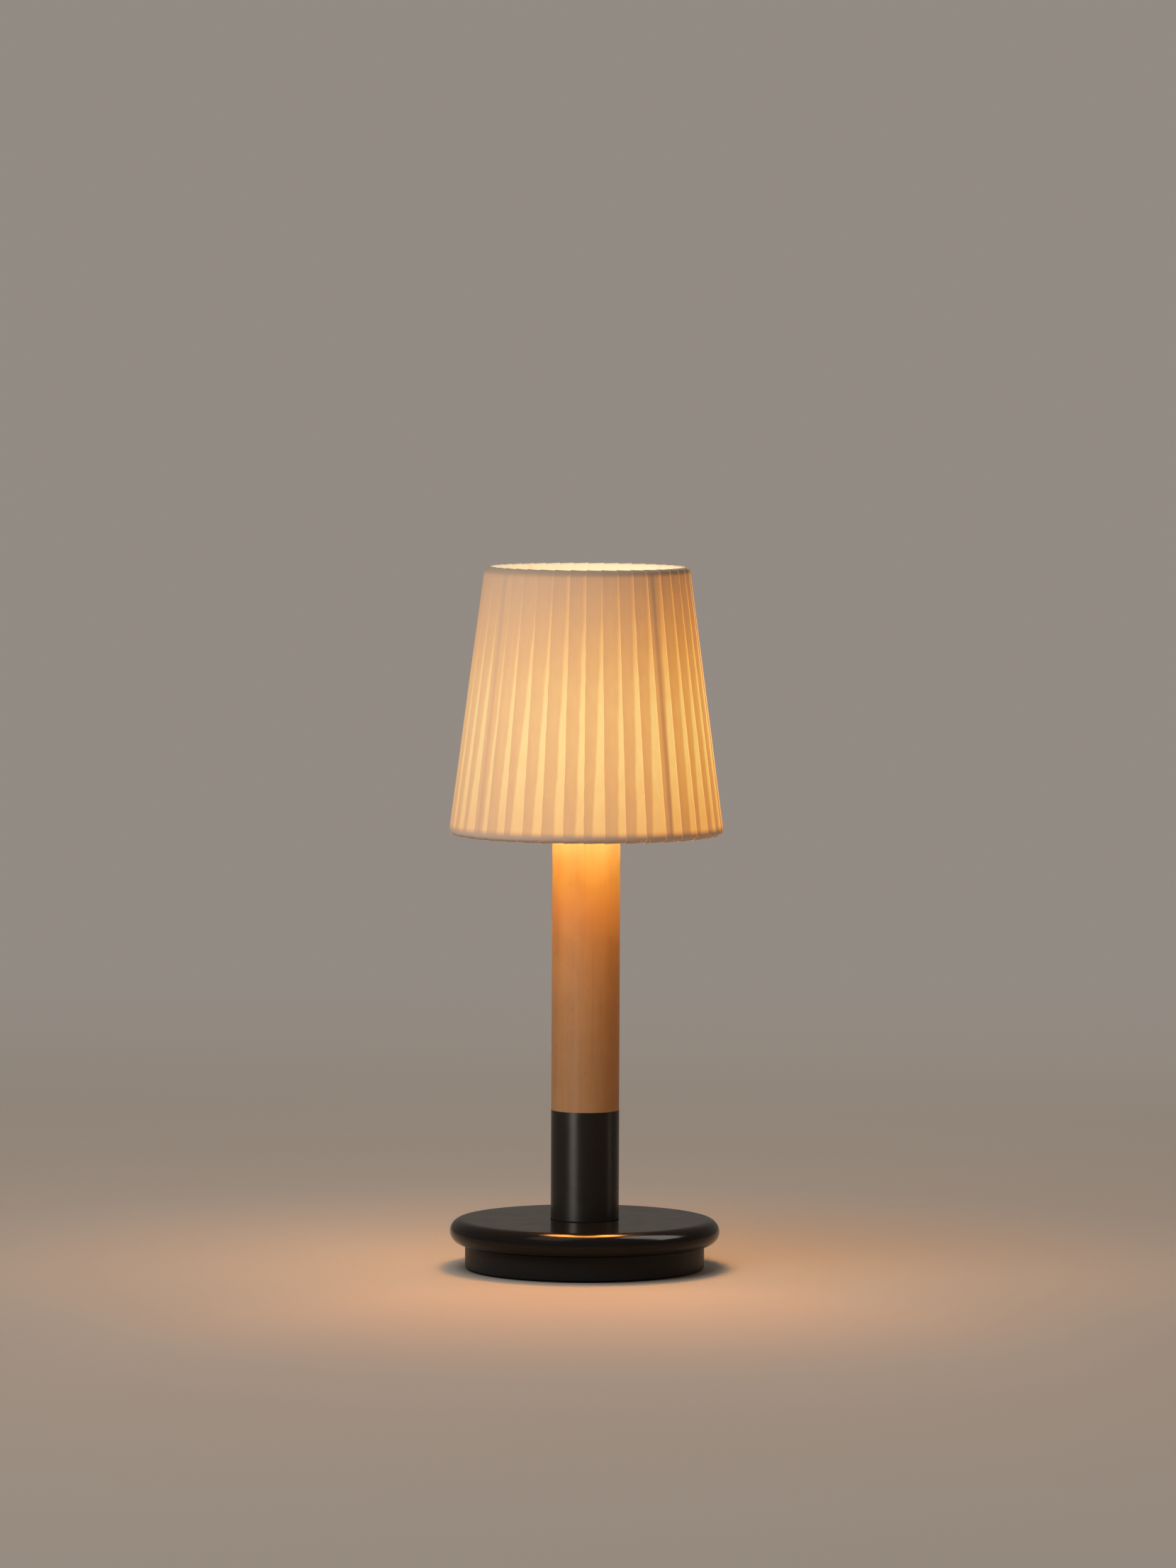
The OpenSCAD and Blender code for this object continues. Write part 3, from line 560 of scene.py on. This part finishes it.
def make_ribbons():
    """All the ribbons as one mesh, each a closed strip, with what their material needs as attributes.

    strip is the place across and along a ribbon in mm, and its number. cover is how far a point lies past
    the hidden edge of the ribbon below, and strut how far from the nearest strut, in mm. inner is 1 on the
    inner side.
    """
    rows = ribbon_rows()
    low_stray, top_stray = one_each(LOW_STRAY), one_each(TOP_STRAY)
    low_more, top_more = one_each(LOW_MORE), one_each(TOP_MORE)
    edges = [Wander(EDGE_WANDER, 2, 14, 6) for _ in range(COUNT)]
    tucks = [Wander(TUCK_WANDER, 1, 5) for _ in range(COUNT)]
    # The wall itself is a little uneven, in the same way for all the layers
    swell = [Wander(SWELL, 0.5, 2) for _ in range(5)]

    def lap_at(k, s):
        plain = LOW_LAP + (TOP_LAP - LOW_LAP) * s
        return plain + (low_more[k] * (1 - s) + top_more[k] * s) + tucks[k](s)

    def stray_at(k, s):
        return low_stray[k] * (1 - s) + top_stray[k] * s + edges[k](s)

    def wall_swell(turn, s):
        fade = math.sin(math.pi * s)
        return fade * sum(w(s) * math.cos((i + 2) * turn + i) for i, w in enumerate(swell)) / 3

    verts, faces = [], []
    strip, cover, inner, strut = [], [], [], []
    for k in range(COUNT):
        first = len(verts)
        before = (k - 1) % COUNT
        n = COLUMNS + 1
        width = 2 * n
        along = 0.0
        last = None
        facing = []
        for radius, z, way, s in rows:
            lap = lap_at(k, s)
            stray = stray_at(k, s)
            hidden = lap_at(before, s) - 1 + stray_at(before, s) - stray
            mid = (radius + OUT * math.cos(way), z + OUT * math.sin(way))
            along += 0 if last is None else math.dist(mid, last)
            last = mid
            pitch_l = PITCH * mid[0]
            # The tails and the inner halves of the hooks face the light as the inner side does
            facing.append(min(1, max(0, (TOP_FACING if s == 1 else LOW_FACING) - INWARDS * math.cos(way))))
            for side in (0, 1):
                for c in range(n):
                    p = lap * c / COLUMNS
                    off = WIRE + GAP + (2 - p) * STEP + (THICK if side == 0 else 0)
                    # The free edge stands up a trace, the tucked edge is pressed flat
                    off += EDGE_LIFT * math.exp(-p / EDGE_REACH)
                    turn = FIRST + (k + p + stray) * PITCH
                    # Taut ribbon is a little flatter than the round ring between its edges
                    frac = (k + p) % 1
                    flat = -TAUT * (radius * (1 - math.cos(PITCH / 2))) * 4 * frac * (1 - frac)
                    r = radius + off * math.cos(way) + flat + wall_swell(turn, s) * math.cos(way)
                    verts.append((r * math.cos(turn), r * math.sin(turn), z + off * math.sin(way)))
                    strip.append((p * pitch_l / MM, along / MM, k))
                    cover.append((p - hidden) * pitch_l / MM)
                    away = min((abs((turn - a + math.pi) % math.tau - math.pi), turn, a) for a in STRUTS)
                    signed = (away[1] - away[2] + math.pi) % math.tau - math.pi
                    strut.append(signed * r / MM)
        for i in range(len(rows) - 1):
            a = first + i * width
            b = a + width
            low, high = facing[i], facing[i + 1]
            for c in range(COLUMNS):
                faces.append((a + c, a + c + 1, b + c + 1, b + c))
                inner += [low, low, high, high]
                faces.append((a + n + c + 1, a + n + c, b + n + c, b + n + c + 1))
                inner += [1.0] * 4
            faces.append((a + n, a, b, b + n))
            faces.append((a + n - 1, a + 2 * n - 1, b + 2 * n - 1, b + n - 1))
            inner += [low, low, high, high] * 2
        for a, back in ((first, False), (first + (len(rows) - 1) * width, True)):
            for c in range(COLUMNS):
                quad = (a + c, a + n + c, a + n + c + 1, a + c + 1)
                faces.append(quad[::-1] if back else quad)
                inner += [1.0] * 4
    mesh = bpy.data.meshes.new("ribbons_cloth")
    mesh.from_pydata(verts, [], faces)
    mesh.update()
    mesh.polygons.foreach_set("use_smooth", [True] * len(mesh.polygons))
    mesh.set_sharp_from_angle(angle=math.radians(50))
    made = mesh.attributes.new("strip", "FLOAT_VECTOR", "POINT")
    made.data.foreach_set("vector", np.array(strip, np.float32).ravel())
    for name, values, where in (("cover", cover, "POINT"), ("strut", strut, "POINT"),
                                ("inner", inner, "CORNER")):
        made = mesh.attributes.new(name, "FLOAT", where)
        made.data.foreach_set("value", np.array(values, np.float32))
    obj = bpy.data.objects.new("ribbons_cloth", mesh)
    bpy.context.scene.collection.objects.link(obj)
    return obj


# Heights of the shade's ends
GLOW_LOW, GLOW_HIGH = 0.2478, 0.4
# Transmitted light along the height of the shade, as shares of its brightest place
GLOW_CURVE = [(0.0, 0.56), (0.1, 0.67), (0.2, 0.81), (0.3, 0.93), (0.4, 1.0), (0.5, 0.97),
              (0.6, 0.84), (0.7, 0.635), (0.8, 0.47), (0.9, 0.32), (1.0, 0.21)]
# Heights over which the glow ends at the rims, and the painted light of the bottom rim and shade of the top
# one
LOW_RIM, TOP_RIM = (0.2503, 0.2545), (0.3952, 0.3984)
LOW_RIM_PAINTED_LIGHT, TOP_RIM_PAINTED_SHADE = (0.2495, 0.2525), (0.393, 0.3995)
# Millimetres from thread to thread, along the ribbon and across it
RIBS, ENDS = 0.42, 0.3
# Millimetres from a strut's middle to where its shadow starts to fade and has gone
SHADOW = (0.3, 2.6)
# Millimetres before and past the hidden edge of a ribbon, between which one layer turns into two
SOFT_EDGE = (-0.95, 0.9)
# What two layers let through of the light that one does: low down, and high up
DOUBLE = (0.44, 0.54)


def ribbon_cloth():
    """Cotton ribbon lit from inside: brighter where one layer hides the light than where two do."""
    s = Shade("ribbon", (0.5, 0.345, 0.235, 1), 0.85, Sheen_Weight=0.12, Sheen_Roughness=0.5)
    strip = s.attribute("strip", "Vector")
    axes = s.node("SeparateXYZ")
    s.link(strip, axes.inputs[0])
    across, along = axes.outputs["X"], axes.outputs["Y"]

    def stretched(x, y, detail=3):
        """Noise across and along a ribbon. Its number, stretched too, sets it apart from its neighbours."""
        mapping = s.node("Mapping")
        s.link(strip, mapping.inputs["Vector"])
        mapping.inputs["Scale"].default_value = (x, y, 7.3)
        return s.noise(mapping.outputs["Vector"], 1.0, detail)

    weft = stretched(0.16, 2.4)
    warp = stretched(2.6, 0.07)
    cloud = stretched(0.22, 0.1, 2)
    # The weft stands up as fine ribs
    rib = s.maths("SINE", s.maths("MULTIPLY", along, math.tau / RIBS))
    end = s.maths("SINE", s.maths("MULTIPLY", across, math.tau / ENDS))
    weave = s.maths("ADD", s.maths("MULTIPLY", rib, 0.6), s.maths("MULTIPLY", end, 0.4))

    z = s.height()
    share = s.spread(z, GLOW_LOW, GLOW_HIGH, smooth=False)
    curve = s.ramp(share, [(at, (v, v, v)) for at, v in GLOW_CURVE], "CARDINAL")
    level = s.node("RGBToBW")
    s.link(curve, level.inputs[0])
    rims = s.maths("MULTIPLY", s.spread(z, *LOW_RIM), s.spread(z, *TOP_RIM, 1, 0))
    glow = s.maths("MULTIPLY", level.outputs[0], rims)

    # One layer or two: the hidden edge shows soft through the ribbon over it
    soft_edge = s.spread(s.attribute("cover"), *SOFT_EDGE)
    # Two layers also let more light through towards the hidden edge than next to the free edge
    double = s.maths("ADD", s.spread(z, 0.29, 0.385, *DOUBLE), s.spread(across, 0.2, 5, 0, 0.07))
    single = s.maths("SUBTRACT", 1.0, s.maths("MULTIPLY", s.maths("SUBTRACT", 1.0, soft_edge),
                                               s.maths("SUBTRACT", 1.0, double)))
    # The struts' shadows are deeper on the right
    d = s.maths("ABSOLUTE", s.attribute("strut"))
    split = s.node("SeparateXYZ")
    s.link(s.place(), split.inputs[0])
    shadow = s.spread(d, *SHADOW, s.spread(split.outputs["X"], -60 * MM, 0, 0.66, 0.46), 1)
    threads = s.maths("ADD", 0.93, s.maths("MULTIPLY", s.maths("ADD", weft, warp), 0.075))
    light = s.maths("MULTIPLY", s.maths("MULTIPLY", glow, single), s.maths("MULTIPLY", shadow, threads))
    light = s.maths("MULTIPLY", light, s.spread(cloud, 0.3, 0.7, 0.95, 1.05))
    light = s.maths("ADD", light, s.maths("MULTIPLY", s.maths("MULTIPLY", weave, glow), 0.012))
    # The cloth filters the light, so it is redder where less comes through
    outer = s.ramp(light, [
        (0.0, (0, 0, 0)),
        (0.156, (0.27, 0.092, 0.014)),
        (0.302, (0.42, 0.156, 0.016)),
        (0.404, (0.50, 0.2, 0.017)),
        (0.604, (0.62, 0.29, 0.05)),
        (0.79, (0.67, 0.365, 0.08)),
        (1.0, (0.705, 0.45, 0.125))])
    # The light inside reaches the right of the shade a little better than the left
    tint = s.ramp(s.spread(split.outputs["X"], -75 * MM, 75 * MM, smooth=False), [
        (0.1, (0.75, 0.78, 0.76)), (0.17, (0.77, 0.81, 0.77)), (0.32, (0.87, 0.95, 0.9)),
        (0.5, (0.92, 0.99, 0.9)), (0.7, (0.95, 0.96, 0.86)), (0.9, (0.99, 0.96, 0.82))])
    outer = s.mix(1, outer, tint, "MULTIPLY")
    # The inner side faces the light
    faced = s.maths("MULTIPLY", s.spread(share, 0, 0.35, 0.6, 1), s.spread(share, 0.6, 1, 1, 0.85))
    faced = s.maths("MULTIPLY", faced, s.maths("MULTIPLY", s.spread(d, *SHADOW, 0.8, 1), threads))
    inside = s.ramp(faced, [(0.0, (0.1, 0.05, 0.02)), (0.5, (0.6, 0.4, 0.18)), (0.85, (0.66, 0.54, 0.31)),
                            (1.0, (0.77, 0.66, 0.44))])
    s.put("Emission Color", s.mix(s.attribute("inner"), outer, inside))
    s.put("Emission Strength", 1.055)

    base = s.mix(s.spread(weft, 0.3, 0.7, 0, 0.5), (0.52, 0.36, 0.247, 1), (0.47, 0.32, 0.217, 1))
    base = s.mix(s.spread(warp, 0.35, 0.7, 0, 0.4), base, (0.55, 0.385, 0.267, 1))
    # Painted shade darkens the cloth on the top rim, and painted light makes it paler on the bottom rim
    base = s.mix(s.spread(z, *TOP_RIM_PAINTED_SHADE, 0, 0.5), base, (0.34, 0.217, 0.14, 1))
    s.put("Base Color", s.mix(s.spread(z, *LOW_RIM_PAINTED_LIGHT, 0.45, 0), base, (0.74, 0.57, 0.45, 1)))
    s.bump(s.maths("ADD", weave, s.maths("MULTIPLY", weft, 2.0)), 0.3, 0.00005)
    return s.mat


# Loose thread ends: place round the rim in degrees, length in mm, and how far they lean and curl along
# the rim
THREADS = [(-121, 2.2, 0.5, 0.6), (-110, 1.8, -0.4, 0.7), (-92, 2.0, -0.6, 0.9), (-67, 2.6, 0.9, -0.7),
           (-64.5, 3.4, -0.2, -0.3), (-62.5, 2.4, -0.5, 0.4), (-51, 3.0, 0.4, 1.6), (-38, 2.4, -0.8, 0.5),
           (38, 2.8, 0.4, -0.5), (104, 2.4, -0.6, 0.6), (171, 3.0, 0.3, 0.7)]
THREAD_R, THREAD_Z = LOW_R + 2.95 * MM, 249.4 * MM
THREAD_THICK = 0.15 * MM
THREAD_PARTS = 6


def make_threads(material):
    """A few loose thread ends on the bottom rim."""
    parts = bmesh.new()
    for turn, length, lean, curl in THREADS:
        rings = []
        for i in range(THREAD_PARTS + 1):
            s = i / THREAD_PARTS
            t = math.radians(turn) + (lean * s + curl * s * s) * length * MM / THREAD_R
            p = Vector((THREAD_R * math.cos(t), THREAD_R * math.sin(t),
                        THREAD_Z - length * MM * s * (1 - 0.35 * s)))
            thick = THREAD_THICK * (1 - 0.5 * s)
            rings.append([parts.verts.new(p + thick * Vector((math.cos(b), math.sin(b), 0)))
                          for b in (0, math.tau / 3, 2 * math.tau / 3)])
        for low, high in zip(rings, rings[1:]):
            for j in range(3):
                parts.faces.new((low[j], low[(j + 1) % 3], high[(j + 1) % 3], high[j]))
        parts.faces.new(rings[0][::-1])
        parts.faces.new(rings[-1])
    bmesh.ops.recalc_face_normals(parts, faces=parts.faces)
    mesh = bpy.data.meshes.new("loose_threads")
    parts.to_mesh(mesh)
    parts.free()
    # Loose threads catch the light of the mouth
    made = mesh.attributes.new("inner", "FLOAT", "POINT")
    made.data.foreach_set("value", [0.4] * len(mesh.vertices))
    mesh.materials.append(material)
    obj = bpy.data.objects.new("loose_threads", mesh)
    bpy.context.scene.collection.objects.link(obj)
    return obj


# Floor

FLOOR_HALF = 30
# Distances from the lamp between which the floor turns into the room
HAZE = (0.5, 1.9)


def make_floor():
    """A plain pale floor that turns into the room at a distance."""
    mesh = bpy.data.meshes.new("floor")
    corners = [(x * FLOOR_HALF, y * FLOOR_HALF, 0) for x, y in ((-1, -1), (1, -1), (1, 1), (-1, 1))]
    mesh.from_pydata(corners, [], [(0, 1, 2, 3)])
    obj = bpy.data.objects.new("floor", mesh)
    bpy.context.scene.collection.objects.link(obj)
    s = Shade("floor", linear(172, 160, 149), 0.85, Specular_IOR_Level=0.15)
    far = s.node("VectorMath", operation="LENGTH")
    s.link(s.place(), far.inputs[0])
    share = s.spread(far.outputs["Value"], *HAZE)
    haze = s.node("Emission")
    haze.inputs["Color"].default_value = (*ROOM, 1)
    s.link(seen_share(s.tree), haze.inputs["Strength"])
    both = s.node("MixShader")
    s.link(share, both.inputs[0])
    s.link(s.bsdf.outputs["BSDF"], both.inputs[1])
    s.link(haze.outputs["Emission"], both.inputs[2])
    s.link(both.outputs[0], s.out.inputs["Surface"])
    mesh.materials.append(s.mat)
    return obj


floor = make_floor()


# The pools and the wash are for the floor alone, and what is round the diffuser lets the pools out
for light in (pool_light, pool_front):
    linked(light, receiver=[floor], blocker=[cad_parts[n] for n in ("base_disc", "plinth", "stem_tube")])
linked(wash, receiver=[floor])
# The key would throw a second shadow across the pool
linked(key, receiver=[floor])
key.light_linking.receiver_collection.collection_objects[0].light_linking.link_state = "EXCLUDE"

for name, material in LOOKS.items():
    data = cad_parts[name].data
    data.materials.clear()
    data.materials.append(material)

ribbons = make_ribbons()
cloth = ribbon_cloth()
ribbons.data.materials.append(cloth)
loose = make_threads(cloth)
for piece in (ribbons, loose):
    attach(piece, "shade")
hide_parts("ribbons")
